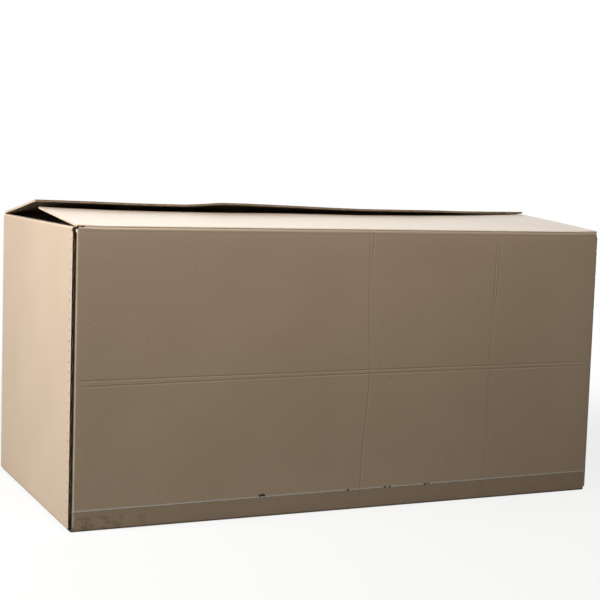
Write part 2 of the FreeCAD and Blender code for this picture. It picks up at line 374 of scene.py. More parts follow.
# Columns beside a groove are moved less and less up to here, and so are those beside a crease
GROOVE_EASE = 50 * MM
CREASE_EASE = 70 * MM
# Rows as near as this to a groove of the level pair go with it
ROW_BAND = 3.5 * MM


def front_wall(x, z):
    """Where a point of the flat front wall really is: x, depth, z, and how creased it is."""
    shifted = x
    creased = 0
    for crease in UPRIGHT_CREASES:
        base, base_gap = between(crease, RING_HIGH)
        middle, gap = between(crease, z)
        offset = abs(x - base)
        if offset < base_gap / 2:
            moved = offset * gap / base_gap
        else:
            fade = 1 - smooth(offset - base_gap / 2, 3 * MM, GROOVE_EASE)
            moved = offset + (gap - base_gap) / 2 * fade
        near = 1 - smooth(offset, 20 * MM, CREASE_EASE)
        shifted += (moved - offset) * math.copysign(1, x - base) + (middle - base) * near
        faint = 0.55 + 0.45 * noise.noise(Vector((base * 9, z * 14, 5)))
        creased = max(creased, groove(moved - gap / 2) * faint)
    upper, lower = between(LEVEL_CREASE, LEVEL_BASE)
    up, down = between(LEVEL_CREASE, x)
    held = smooth(HALF_LENGTH - abs(x), 8 * MM, 30 * MM)
    raised = z
    for base, target in ((upper, up), (lower, down)):
        if abs(z - base) < ROW_BAND:
            raised = z + (target - base) * held
        faint = 0.75 + 0.25 * noise.noise(Vector((x * 11, base * 50, 9)))
        creased = max(creased, groove(z - base) * held * faint)
    return shifted, bow(x, z, FRONT_WAVES) + creased * GROOVE_DEPTH, raised, creased


print("bow at the middle of the front wall, mm:", round(bow(0, 0.3, FRONT_WAVES) / MM, 2))

# %% [markdown]
# ## Four walls and the glue tab
#
# Seen from above, the outer face of the walls is one walk. It starts at the raw edge of the
# left wall, goes round the back and the right end, comes along the front, and turns in
# behind its own start, where the tab is glued.

# %% The ring of walls
left_rows = spaced(-SLOT_Y, SLOT_Y, 20 * MM)
end_columns = [-HALF_WIDTH + RAW_SETBACK] + left_rows + [HALF_WIDTH - FOLD]
tear_columns = [TEAR_START + step * 1.3 * MM for step in range(1, 19)]
long_columns = spaced(-SLOT_X, SLOT_X, 18 * MM,
                      crease_columns() + tear_columns + [-FRONT_FOLD_X + FOLD])
front_columns = [x for x in long_columns if x > -FRONT_FOLD_X + FOLD - NEAR]
back_columns = spaced(-SLOT_X, SLOT_X, 20 * MM)
score_rows = [SCORE_HEIGHT - step * 1.5 * MM for step in range(5)]
ring_rows = spaced(RING_LOW, RING_HIGH, 16 * MM, level_rows() + score_rows
                   + [RING_LOW + TAB_SHOULDER, RING_HIGH - TAB_SHOULDER])

ring = Walk((-HALF_LENGTH, -HALF_WIDTH + RAW_SETBACK), 90, -1)
wall_start = {}


def walk_wall(name, places):
    """Walk along one wall, leaving points at the given places, and then round its corner."""
    wall_start[name] = (places[0], ring.along, len(ring.steps) - 1)
    ring.run(0, stops=[abs(place - places[0]) for place in places[1:]])


walk_wall("left", end_columns)
ring.bend(-90, FOLD)
walk_wall("back", [-HALF_LENGTH + FOLD] + back_columns + [HALF_LENGTH - FOLD])
ring.bend(-90, FOLD)
walk_wall("right", [HALF_WIDTH - FOLD] + left_rows[::-1] + [-HALF_WIDTH + FOLD])
ring.bend(-90, FOLD)
walk_wall("front", [HALF_LENGTH - FOLD] + front_columns[::-1])
front_end = len(ring.steps) - 1
ring.bend(-90, FOLD)
ring_end = len(ring.steps) - 1
print("points round the ring:", len(ring.steps))

# %% Points of the ring as faces
def flat_across(wall, place):
    """A wall's place along the flat sheet."""
    first, along, _ = wall_start[wall]
    return along + abs(place - first)


def ring_point(step, z):
    """A point of the ring: place, inward way and place on the flat sheet."""
    (x, y), inward, along = ring.steps[step]
    depth = 0
    height = z
    creased = 0
    if wall_start["front"][2] <= step <= front_end:
        x, depth, height, creased = front_wall(x, z)
    elif abs(inward.x) > 0.999:
        depth = bow(y, z, LEFT_WAVES if x < 0 else RIGHT_WAVES, HALF_WIDTH)
    elif abs(inward.y) > 0.999:
        depth = bow(x, z, BACK_WAVES)
    if abs(inward.y) > 0.999:
        depth += score(z) * smooth(HALF_LENGTH - abs(x), 5 * MM, 15 * MM)
    place = (x + inward.x * depth, y + inward.y * depth, height)
    return place, (inward.x, inward.y, 0), (along, z), creased


skin = Skin()
ids = skin.grid([[ring_point(step, z) for z in ring_rows] for step in range(ring_end + 1)])
skin.rim_depth.update((i, RAW_SLOT) for i in ids[0])
corner_rows = [RING_HIGH + rise for rise in spaced(0, LEVEL - TOP_FOLD - RING_HIGH, 3 * MM)]
skin.grid([[ring_point(step, z) for z in corner_rows] for step in range(front_end, ring_end + 1)])
print("skin after the ring:", len(skin.points), "points")

# %% [markdown]
# The front wall ends in a glue tab, cut narrower at top and bottom. It leans across the gap
# at the corner and then lies on the inside of the left wall, where it is glued. A third walk
# carries the sheet on from where the ring stopped.

# %% The glue tab
TAB_EASE = 20 * MM
tab_free = TAB_WIDTH - GLUE_WIDTH - FOLD
lean = math.degrees(math.atan2(JOINT_GAP - 0.2 * MM, tab_free))
tab = Walk(ring.at, math.degrees(ring.heading), -1, ring.along)
tab.bend(lean, TAB_EASE, 2).run(tab_free, 5 * MM).bend(-lean, TAB_EASE, 2)
tab.run(GLUE_WIDTH, 10 * MM)
tab_low = RING_LOW + TAB_SHOULDER - NEAR
tab_high = RING_HIGH - TAB_SHOULDER + NEAR
tab_rows = [z for z in ring_rows if tab_low < z < tab_high]
skin.grid([[((p.x, p.y, z), (n.x, n.y, 0), (along, z)) for z in tab_rows]
           for p, n, along in tab.steps])
print("skin with its tab:", len(skin.points), "points")

# %% [markdown]
# ## Tops and bottoms of the walls
#
# Each wall runs on into a flap. The end flaps are folded over and hang down inside. The
# long bottom flaps meet under the carton. The long top walls stop half way round their fold:
# from there on the board belongs to a top flap, which moves.

# %% Sweeping a profile along a wall
# The end folds get a pale line painted along them: a painted highlight where the rounded fold catches the
# light, kept as a crease below 0
FOLD_HIGHLIGHT = -2.2
FOLD_HIGHLIGHT_REACH = 3 * MM
FOLD_PRESS = 1.6 * MM
flap_ends = []


def long_strip(skin, walk, columns, wall, sign, folded_end=False, drop=None):
    """Sweep a profile, drawn in (Y, Z) for the back wall, along X."""
    rows = []
    for x in columns:
        shift, creased = front_wall(x, walk.from_z)[::3] if wall == "front" else (x, 0)
        row = []
        for p, n, along in walk.steps:
            sink = drop(x, along) if drop else 0
            if wall == "front" and walk.from_z == RING_HIGH:
                sink += WALL_SINKS * tear(x) * smooth(along, 6 * MM, 11 * MM)
            depth = creased * GROOVE_DEPTH
            if walk.from_z == RING_HIGH:
                depth += score(p.y) * smooth(HALF_LENGTH - abs(x), 5 * MM, 15 * MM)
            place = (shift, sign * (p.x + n.x * depth), p.y + n.y * depth - sink)
            flat = (flat_across(wall, x), walk.flat(along))
            row.append((place, (0, sign * n.x, n.y), flat, creased))
        rows.append(row)
    turned = [list(column) for column in zip(*rows)]
    skin.grid(turned, folded_end)


def end_strip(skin, walk, sign, wall, highlight_at):
    """Sweep a profile, drawn in (X, Z) for the right end, along Y.

    Its fold gets a painted highlight, a pale line that is kept as a crease below 0.
    """
    rows = []
    for p, n, along in walk.steps:
        row = []
        for y in left_rows:
            # Painted highlight: a pale line along the rounded fold
            fold_highlight = FOLD_HIGHLIGHT * groove(along - highlight_at, FOLD_HIGHLIGHT_REACH)
            fold_highlight = fold_highlight * (0.8 + noise.noise(Vector((y * 40, 0, sign))))
            flat = (flat_across(wall, y), walk.flat(along))
            row.append(((sign * p.x, y, p.y), (sign * n.x, 0, n.y), flat, fold_highlight))
        rows.append(row)
    skin.grid(rows)
    flap_ends.append(rows[-2:])


def upward(start, side):
    """A walk that starts at the top of a wall."""
    walk = Walk(start, 90, side)
    walk.from_z = RING_HIGH
    walk.flat = lambda along: RING_HIGH + along
    return walk


def downward(start, side):
    """A walk that starts at the foot of a wall."""
    walk = Walk(start, -90, side)
    walk.from_z = RING_LOW
    walk.flat = lambda along: RING_LOW - along
    return walk


def fold_drop(x, along=0):
    """The long top folds are pressed a little lower between the two ends."""
    return FOLD_PRESS * smooth(HALF_LENGTH - abs(x), 15 * MM, 60 * MM) * smooth(along, 0, 4 * MM)


# %% Flaps that are part of the carton
for wall, sign, columns in (("front", -1, front_columns), ("back", 1, back_columns)):
    rise = upward((HALF_WIDTH, RING_HIGH), 1)
    rise.run(LEVEL - TOP_FOLD - RING_HIGH, 3 * MM).bend(45, TOP_FOLD, 6)
    long_strip(skin, rise, columns, wall, sign, True, fold_drop)
    under = downward((HALF_WIDTH, RING_LOW), -1)
    under.run(RING_LOW - FOLD - TAPE_ROOM, 2 * MM).bend(-90, FOLD)
    under.run(HALF_WIDTH - FOLD - BOTTOM_SEAM / 2, 30 * MM)
    long_strip(skin, under, long_columns if wall == "front" else back_columns, wall, sign)

hem_outside = HALF_LENGTH - BOARD - (BOARD + JOINT_GAP + HEM_CLEARANCE) - BOARD
for wall, sign in (("left", -1), ("right", 1)):
    over = upward((HALF_LENGTH, RING_HIGH), 1)
    over.run(CREST - FOLD - RING_HIGH, 2 * MM).bend(90, FOLD)
    over.run(HALF_LENGTH - hem_outside - 2 * FOLD, 3 * MM).bend(90, FOLD)
    over.run(END_FLAP_REACH - FOLD, 25 * MM)
    end_strip(skin, over, sign, wall, CREST - FOLD - RING_HIGH + 4.5 * MM)
    under = downward((HALF_LENGTH, RING_LOW), -1)
    under.bend(-90, FOLD).run(END_FLAP_REACH - FOLD, 25 * MM)
    end_strip(skin, under, sign, wall, 4 * MM)
print("skin with its flaps:", len(skin.points), "points,", len(skin.faces), "faces")

# %% [markdown]
# ## Thickness and cut edges
#
# Where corrugated board is cut, two thin liners stand a little proud of the fluted sheet
# between them. So the skin is given its thickness with a slot all round its rim. One depth is
# for cuts across the flutes, which end on a row of waves, and one for cuts along them, which
# end on a single wave or on the hollow beside it.

# %% The slot in the rim
def rim_offsets(skin, across):
    """For each point on the rim, the way from the rim to the bottom of its slot."""
    edges = set()
    for face in skin.faces:
        edges.update(zip(face, face[1:] + face[:1]))
    rim = [(a, b) for a, b in edges if (b, a) not in edges]
    ways = {}
    for a, b in sorted(rim):
        along = (skin.points[b] - skin.points[a]).normalized()
        way = along.cross(skin.inward[a] + skin.inward[b]).normalized()
        du = abs(skin.flat[a][0] - skin.flat[b][0])
        dv = abs(skin.flat[a][1] - skin.flat[b][1])
        depth = across if du > dv else ALONG_SLOT
        if a in skin.rim_depth and b in skin.rim_depth:
            depth = skin.rim_depth[a]
        for point in (a, b):
            ways.setdefault(point, []).append((way, depth))
    offsets = {}
    for point, pair in ways.items():
        (first, first_depth), (second, second_depth) = pair[0], pair[-1]
        if first.dot(second) > 0.7:
            offsets[point] = first * (first_depth + second_depth) / 2
        else:
            offsets[point] = first * first_depth + second * second_depth
    return rim, offsets


# %% From a skin to a closed sheet of board
SHARP = math.radians(32)


def board_mesh(name, skin, across):
    """A closed sheet of board with its outer face on the skin and a slot in its rim."""
    rim, offsets = rim_offsets(skin, across)
    points = list(skin.points)
    flat = skin.flat * 2
    creased = skin.creased * 2
    count = len(points)
    points += [p + n * BOARD for p, n in zip(skin.points, skin.inward)]
    faces = [tuple(face) for face in skin.faces]
    faces += [tuple(i + count for i in reversed(face)) for face in skin.faces]
    materials = [0] * len(skin.faces) + [2] * len(skin.faces)
    slot = {}
    for i, offset in sorted(offsets.items()):
        outer, inward = skin.points[i], skin.inward[i]
        steps = (inward * LINER, inward * LINER + offset,
                 inward * (BOARD - LINER) + offset, inward * (BOARD - LINER))
        slot[i] = [i] + [len(points) + step for step in range(4)] + [i + count]
        points += [outer + step for step in steps]
        flat += [skin.flat[i]] * 4
        creased += [skin.creased[i]] * 4
    for a, b in sorted(rim):
        folded = skin.rim_depth.get(a) == FOLDED_SLOT and skin.rim_depth.get(b) == FOLDED_SLOT
        for step in range(5):
            faces.append((slot[b][step], slot[a][step], slot[a][step + 1], slot[b][step + 1]))
            materials.append(2 if folded else 1)
    mesh = bpy.data.meshes.new(name)
    mesh.from_pydata([tuple(p) for p in points], [], faces)
    mesh.polygons.foreach_set("material_index", materials)
    mesh.polygons.foreach_set("use_smooth", [True] * len(faces))
    uv = mesh.uv_layers.new(name="flat_sheet")
    for loop in mesh.loops:
        uv.data[loop.index].uv = flat[loop.vertex_index]
    # The creased attribute carries painted shade for the creases, and a painted highlight where it is
    # below 0
    mesh.attributes.new("creased", "FLOAT", "POINT").data.foreach_set("value", creased)
    mesh.set_sharp_from_angle(angle=SHARP)
    mesh.validate()
    piece = placed(name, mesh)
    print(name, len(mesh.vertices), "points,", len(mesh.polygons), "faces")
    return piece


folded_sheet = board_mesh("folded_sheet", skin, RAW_SLOT)

# %% [markdown]
# ## The two long top flaps
#
# Each flap begins half way round its fold and is a slightly warped plate after that. The
# CAD flap is a flat plate, which the real one touches only at its ends: its free edge sags
# between them, and the back one has a kink where it was once folded.

# %% How the flaps stand and how far their free edges sag
# Degrees above level in the rest place
FRONT_LIFT = 5
BACK_LIFT = 8
# Each row: (place along the carton, depth below the flat plate), in mm
FRONT_SAG = ((-593, 3.0), (-540, 5.4), (-440, 7.9), (-330, 9.1), (-190, 9.4), (-20, 8.5),
             (160, 9.5), (290, 8.2), (420, 5.9), (560, 1.7), (598, 1.0))
BACK_SAG = ((-598, 2.3), (-486, 3.9), (-381, 6.2), (-270, 6.9), (-232, 4.9), (-190, 1.4),
            (-133, 1.8), (-17, 4.6), (103, 8.0), (165, 9.0), (356, 8.9), (422, 9.8), (598, 8.6))
print("most sag, mm:", max(row[1] for row in FRONT_SAG + BACK_SAG))

# %% The skins of the flaps
FLAP_WARP = 0.5 * MM
END_WAVES = 0.9 * MM
# On the flap the crease at the right is a raised ridge with a painted highlight, and the one at the left
# is a weak groove with painted shade
FLAP_HIGHLIGHT = -1.4
FLAP_WEAK = 0.6
HIGHLIGHT_FROM = 0.2


def flap_skin(sign, wall, box, width, degrees, sag, creased):
    """The outer face of a long top flap in its rest place, so many degrees above level."""
    low_x, high_x = box[0].x, box[1].x
    lift = math.radians(degrees)
    keep = crease_columns() + tear_columns if creased else ()
    columns = spaced(low_x, high_x, 18 * MM, keep)
    walk = Walk((0, 0), 135, 1)
    walk.bend(45, TOP_FOLD, 6).run(width - TOP_FOLD, 8 * MM)
    start = Vector((-TOP_FOLD * (1 - math.cos(math.pi / 4)), -TOP_FOLD * (1 - math.sin(math.pi / 4))))
    settle = Matrix.Rotation(-lift, 2)
    rows = []
    for p, n, along in walk.steps:
        row = []
        for x in columns:
            part = smooth(along, 0, width) * 0.35 + along / width * 0.65
            depth = fold_drop(x, 1) * (1 - part) + between(sag, x)[0] * part
            depth += FLAP_WARP * noise.noise(Vector((x * 4, along * 9, 31 + sign))) * part * (1 - part) * 4
            shifted, mark = x, 0
            if creased:
                shifted, mark = front_wall(x, RING_HIGH)[::3]
                # The right crease gets a painted highlight on its ridge, and the left one painted shade in
                # its groove
                mark *= FLAP_HIGHLIGHT if x > HIGHLIGHT_FROM else FLAP_WEAK
                depth += mark * GROOVE_DEPTH
                depth -= FLAP_RISES * tear(x) * (1 - smooth(along, 0, 8 * MM))
            flat_point = start + p + n * depth
            if x == low_x:
                shifted += END_WAVES * (0.5 + noise.noise(Vector((along * 110, sign, 3))))
            turned = settle @ flat_point
            way = settle @ n
            place = (shifted, sign * (HINGE_Y + turned.x), LEVEL + turned.y)
            flat = (flat_across(wall, x), LEVEL + along)
            row.append((place, (0, sign * way.x, way.y), flat, mark))
        rows.append(row)
    skin = Skin()
    skin.grid(rows)
    skin.rim_depth.update((i, FOLDED_SLOT) for i in range(len(columns)))
    return skin, rows


front_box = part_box("front_top_flap")
back_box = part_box("back_top_flap")
front_width = (front_box[1].y + HINGE_Y) / math.cos(math.radians(FRONT_LIFT))
back_width = (HINGE_Y - back_box[0].y) / math.cos(math.radians(BACK_LIFT))
front_skin, front_rows = flap_skin(-1, "front", front_box, front_width, FRONT_LIFT, FRONT_SAG, True)
back_skin, back_rows = flap_skin(1, "back", back_box, back_width, BACK_LIFT, BACK_SAG, False)
front_flap = board_mesh("front_flap_sheet", front_skin, FLAP_SLOT)
back_flap = board_mesh("back_flap_sheet", back_skin, FLAP_SLOT)

# %% [markdown]
# ## Flutes in the cut edges
#
# Between its liners the board has a fluted sheet. A cut across the flutes shows it as a row
# of waves, and a cut along them as one line that wanders from liner to liner. Both follow an
# edge and repeat, so Geometry Nodes make them from a guide line that lies in the slot of the
# edge and knows which way is up and which way is in.

# %% Geometry Nodes that turn a guide line into a fluted ribbon
def flute_tree():
    """A guide line is resampled, waved, drawn out into the sheet and given a thickness."""
    tree = bpy.data.node_groups.new("fluted_ribbon", "GeometryNodeTree")
    number = {"in_out": "INPUT", "socket_type": "NodeSocketFloat"}
    tree.interface.new_socket("Geometry", in_out="INPUT", socket_type="NodeSocketGeometry")
    for label in ("Pitch", "Height", "Depth", "Thickness", "Step"):
        tree.interface.new_socket(label, **number)
    tree.interface.new_socket("Material", in_out="INPUT", socket_type="NodeSocketMaterial")
    tree.interface.new_socket("Geometry", in_out="OUTPUT", socket_type="NodeSocketGeometry")

    def add(kind, settings=None, **links):
        node = tree.nodes.new(kind)
        for name, value in (settings or {}).items():
            setattr(node, name, value)
        for name, value in links.items():
            socket = node.inputs[int(name[1:])] if name[1:].isdigit() else node.inputs[name]
            if isinstance(value, (int, float, str)):
                socket.default_value = value
            else:
                tree.links.new(value, socket)
        return node

    given = add("NodeGroupInput").outputs
    up = add("GeometryNodeInputNamedAttribute", {"data_type": "FLOAT_VECTOR"}, Name="up").outputs[0]
    into = add("GeometryNodeInputNamedAttribute", {"data_type": "FLOAT_VECTOR"}, Name="into").outputs[0]
    line = add("GeometryNodeMeshToCurve", None, Mesh=given["Geometry"]).outputs[0]
    fine = add("GeometryNodeResampleCurve", {"mode": "LENGTH"}, Curve=line, Length=given["Step"])
    run = add("GeometryNodeSplineParameter").outputs["Length"]
    waves = add("ShaderNodeMath", {"operation": "DIVIDE"}, _0=run, _1=given["Pitch"])
    turns = add("ShaderNodeMath", {"operation": "MULTIPLY"}, _0=waves.outputs[0], _1=2 * math.pi)
    wave = add("ShaderNodeMath", {"operation": "SINE"}, _0=turns.outputs[0])
    rise = add("ShaderNodeMath", {"operation": "MULTIPLY"}, _0=wave.outputs[0], _1=given["Height"])
    lift = add("ShaderNodeVectorMath", {"operation": "SCALE"}, _0=up, Scale=rise.outputs[0])
    moved = add("GeometryNodeSetPosition", None, Geometry=fine.outputs[0], Offset=lift.outputs[0])
    edge = add("GeometryNodeCurveToMesh", None, Curve=moved.outputs[0])
    deep = add("ShaderNodeVectorMath", {"operation": "SCALE"}, _0=into, Scale=given["Depth"])
    ribbon = add("GeometryNodeExtrudeMesh", {"mode": "EDGES"}, Mesh=edge.outputs[0],
                 Offset=deep.outputs[0])
    ribbon.inputs["Offset Scale"].default_value = 1
    thick = add("GeometryNodeExtrudeMesh", {"mode": "FACES"}, Mesh=ribbon.outputs[0])
    thick.inputs["Individual"].default_value = False
    tree.links.new(given["Thickness"], thick.inputs["Offset Scale"])
    other = add("GeometryNodeFlipFaces", None, Mesh=ribbon.outputs[0])
    both = add("GeometryNodeJoinGeometry")
    tree.links.new(other.outputs[0], both.inputs[0])
    tree.links.new(thick.outputs[0], both.inputs[0])
    closed = add("GeometryNodeMergeByDistance", None, Geometry=both.outputs[0], Distance=1e-6)
    real = add("GeometryNodeRealizeInstances", None, Geometry=closed.outputs[0])
    painted = add("GeometryNodeSetMaterial", None, Geometry=real.outputs[0],
                  Material=given["Material"])
    add("NodeGroupOutput", None, Geometry=painted.outputs[0])
    return tree


FLUTED_RIBBON = flute_tree()
print("nodes in the flute tree:", len(FLUTED_RIBBON.nodes))

# %% Guide lines and the ribbons on them
# Thickness of the fluted paper, one wave of the line in an edge along the flutes, how far a
# ribbon stays behind the liners' edges, and how deep the one at the glued corner goes
MEDIUM = 0.4 * MM
WANDER = 46 * MM
INSET = 0.2 * MM
CORNER_DEPTH = 1.2 * MM


def guide(rows):
    """Points of a guide line from (place on the outer face, into the board, into the sheet)."""
    return [(Vector(place) + Vector(inward).normalized() * BOARD / 2 + into * INSET,
             -Vector(inward).normalized(), into) for place, inward, into in rows]


def ribbon(name, guides, pitch, depth, material):
    """One piece with a fluted ribbon along each guide line."""
    mesh = bpy.data.meshes.new(name + "_guide")
    points = [p for line in guides for p in line]
    edges = []
    start = 0
    for line in guides:
        edges += [(start + i, start + i + 1) for i in range(len(line) - 1)]
        start += len(line)
    mesh.from_pydata([tuple(p[0]) for p in points], edges, [])
    for label, column in (("up", 1), ("into", 2)):
        values = [c for p in points for c in p[column]]
        mesh.attributes.new(label, "FLOAT_VECTOR", "POINT").data.foreach_set("vector", values)
    piece = placed(name, mesh)
    modifier = piece.modifiers.new("ribbon", "NODES")
    modifier.node_group = FLUTED_RIBBON
    room = BOARD - 2 * LINER - MEDIUM
    values = {"Pitch": pitch, "Height": room / 2, "Depth": depth, "Thickness": MEDIUM,
              "Step": min(pitch / 8, 4 * MM), "Material": material}
    for item in FLUTED_RIBBON.interface.items_tree:
        if item.item_type == "SOCKET" and item.in_out == "INPUT" and item.name in values:
            modifier[item.identifier] = values[item.name]
    shown = piece.evaluated_get(bpy.context.evaluated_depsgraph_get())
    plain = bpy.data.meshes.new_from_object(shown)
    piece.modifiers.clear()
    piece.data = plain
    plain.name = name
    print(name, len(plain.polygons), "faces")
    return piece


def last_row(rows):
    """The rim line of a strip: its last row, with the way back into the sheet."""
    return guide([(end[0], end[1], (Vector(before[0]) - Vector(end[0])).normalized())
                  for end, before in zip(rows[-1], rows[-2])])


# %% [markdown]
# ## Clear tape
#
# Two strips of clear tape close the bottom: one over the seam, and one round the bottom
# front edge, which shows on the front as a slightly darker band with a bright upper edge.

# %% Tape strips
TAPE_RISE = 42 * MM
TAPE_UNDER = 33 * MM
TAPE = 0.12 * MM
TAPE_SLOPE = 3.5 * MM / (2 * SLOT_X)
TAPE_LIFT = 0.02 * MM
# The tape's upper edge is pinched into a small peak here
PINCH_X = -199.8 * MM
PINCH_RISE = 5 * MM


def tape_strip(name, profile, low_x, high_x, slope=0):
    """A strip of tape along X. The profile has (y, z) points and their outward ways."""
    columns = spaced(low_x, high_x, 6 * MM)
    points = []
    for x in columns:
        for (y, z), (ny, nz) in profile:
            if slope:
                z += (x + SLOT_X) * slope * smooth(z, 20 * MM, TAPE_RISE)
                z += PINCH_RISE * groove(x - PINCH_X, 12 * MM) * smooth(z, 36 * MM, 41 * MM)
            points.append((x, y, z))
            points.append((x, y + ny * TAPE, z + nz * TAPE))
    per = 2 * len(profile)
    faces = []
    for c in range(len(columns) - 1):
        for r in range(len(profile) - 1):
            a = c * per + 2 * r
            b = a + 2
            faces.append((a, b, b + per, a + per))
            faces.append((a + 1, a + per + 1, b + per + 1, b + 1))
        first, last = c * per, c * per + per - 2
        faces.append((first, first + per, first + per + 1, first + 1))
        faces.append((last, last + 1, last + per + 1, last + per))
    for c in (0, len(columns) - 1):
        for r in range(len(profile) - 1):
            a = c * per + 2 * r
            end = (a, a + 1, a + 3, a + 2)
            faces.append(end if c == 0 else end[::-1])
    mesh = bpy.data.meshes.new(name)
    mesh.from_pydata(points, [], faces)
    sheet = bmesh.new()
    sheet.from_mesh(mesh)
    bmesh.ops.recalc_face_normals(sheet, faces=sheet.faces)
    sheet.to_mesh(mesh)
    sheet.free()
    mesh.polygons.foreach_set("use_smooth", [True] * len(mesh.polygons))
    mesh.set_sharp_from_angle(angle=SHARP)
    piece = placed(name, mesh)
    print(name, len(mesh.polygons), "faces")
    return piece


def edge_profile():
    """Down the front, round the bottom edge and in under the carton."""
    walk = Walk((HALF_WIDTH + TAPE_LIFT, TAPE_RISE), -90, -1)
    walk.run(TAPE_RISE - FOLD - TAPE_ROOM, 6 * MM).bend(-90, FOLD + TAPE_LIFT)
    walk.run(TAPE_UNDER - FOLD, 6 * MM)
    return [((-p.x, p.y), (n.x, -n.y)) for p, n, along in walk.steps]


front_tape = tape_strip("front_edge_tape", edge_profile(), -SLOT_X, SLOT_X, TAPE_SLOPE)
under_tape = tape_strip("under_seam_tape",
                        [((y * MM, TAPE_ROOM - TAPE_LIFT), (0, -1)) for y in range(-25, 26, 5)],
                        *[corner.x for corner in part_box("bottom_seam_tape")])

# %% [markdown]
# ## Shader expressions
#
# A material is easier to read as a sum than as a drawing of nodes. The class below wraps a
# socket, so that adding or multiplying two readings adds the Math node that does it.

# %% Readings that can be summed
class Reading:
    """One number, colour or vector inside a material."""

    def __init__(self, finish, socket):
        self.finish = finish
        self.socket = socket

    def math(self, operation, first, second):
        return self.finish.node("ShaderNodeMath", {"operation": operation}, {0: first, 1: second})

    def __add__(self, other):
        return self.math("ADD", self, other)

    def __sub__(self, other):
        return self.math("SUBTRACT", self, other)

    def __rsub__(self, other):
        return self.math("SUBTRACT", other, self)

    def __mul__(self, other):
        return self.math("MULTIPLY", self, other)

    __radd__ = __add__
    __rmul__ = __mul__

    def step(self, low, high):
        """0 below low and 1 above high, with a soft step between."""
        settings = {"interpolation_type": "SMOOTHSTEP"}
        return self.finish.node("ShaderNodeMapRange", settings,
                                {"Value": self, "From Min": low, "From Max": high})


class Finish:
    """The nodes that a material, or the light of the room, is made of."""

    def __init__(self, owner):
        self.owner = owner
        self.owner.use_nodes = True
        self.tree = self.owner.node_tree
        self.tree.nodes.clear()

    def node(self, kind, settings=None, inputs=None, output=0):
        """Add a node: its settings first, then the values or links of its sockets."""
        node = self.tree.nodes.new(kind)
        for name, value in (settings or {}).items():
            setattr(node, name, value)
        for name, value in (inputs or {}).items():
            if isinstance(value, Reading):
                self.tree.links.new(value.socket, node.inputs[name])
            else:
                node.inputs[name].default_value = value
        return Reading(self, node.outputs[output])

    def mix(self, share, first, second, blend="MIX"):
        """Two colours mixed, or blended in another way, by a share."""
        settings = {"data_type": "RGBA", "blend_type": blend}
        return self.node("ShaderNodeMix", settings, {0: share, 6: first, 7: second}, 2)

    def noise(self, place, scale, detail=2.0, rough=0.5):
        inputs = {"Vector": place, "Scale": scale, "Detail": detail, "Roughness": rough}
        return self.node("ShaderNodeTexNoise", None, inputs)

    def part(self, place, axis):
        """One number of a place: 0, 1 or 2 for X, Y or Z."""
        return self.node("ShaderNodeSeparateXYZ", None, {0: place}, axis)

    def spot(self, place, centre, radius, core):
        """1 within a share of the radius round a centre, and 0 outside the radius."""
        ends = {0: place, 1: centre}
        far = self.node("ShaderNodeVectorMath", {"operation": "DISTANCE"}, ends, 1)
        return 1 - far.step(core * radius, radius)

    def sheet_place(self):
        """The place on the flat sheet: across the flutes, along the flutes."""
        return self.node("ShaderNodeUVMap", {"uv_map": "flat_sheet"})

    def stretched(self, place, across, along):
        """The place with each direction scaled by its own factor."""
        inputs = {"Vector": place, "Scale": (across, along, 1)}
        return self.node("ShaderNodeMapping", None, inputs)

    def surface(self, shader, end="ShaderNodeOutputMaterial"):
        """Link the last shader to the output, and give back the finished owner."""
        self.tree.links.new(shader.socket, self.tree.nodes.new(end).inputs["Surface"])
        return self.owner


print("shader helpers ready")

# %% [markdown]
# ## Kraft paper
#
# The liner is matt brown paper: cloudy over a hand's width, fibrous close up, with a faint
# ripple of the flutes below it. Its colours are given as a screen shows them. The pattern
# reads the place on the flat sheet, so that it runs on round every fold.

# %% Colours, from their sRGB values
def colour(red, green, blue):
    """A linear colour from the 0 to 255 values that a screen shows."""
    def linear(value):
        value /= 255
        return value / 12.92 if value <= 0.04045 else ((value + 0.055) / 1.055) ** 2.4
    return (linear(red), linear(green), linear(blue), 1)


KRAFT = colour(205, 183, 160)
KRAFT_LIGHT = colour(216, 196, 174)
KRAFT_DARK = colour(189, 165, 140)
print("kraft", [round(c, 3) for c in KRAFT])

# %% Outer face of the board
DOT_PITCH = 19.3 * MM
DOT_LINES = (13 * MM, flat_across("back", -HALF_LENGTH + FOLD) - 5 * MM)
# Small marks on the front wall: (place along, height, radius, how dark), lengths in mm
SPECKS = ((-367.8, 548.7, 2.2, 0.3), (32.2, 364.5, 2.0, 0.3), (346.4, 462.1, 2.4, -0.35),
          (84.4, 274.7, 4.0, 0.2), (-576, 417, 2.4, 0.12), (-566, 401, 2.6, 0.12))


def row_of_dent_shade(finish, across, along, line):
    """The row of small dents that the creasing tool leaves beside an upright fold, drawn as dark spots of
    painted shade.
    """
    wander = finish.noise(finish.sheet_place(), 30, 1)
    row = finish.node("ShaderNodeMath", {"operation": "FRACT"}, {0: along * (1 / DOT_PITCH) + wander})
    up = (row - 0.5) * (DOT_PITCH / (1.8 * MM))
    aside = (across - line) * (1 / (3.2 * MM))
    return 1 - (up * up + aside * aside).step(0.3, 1.5)


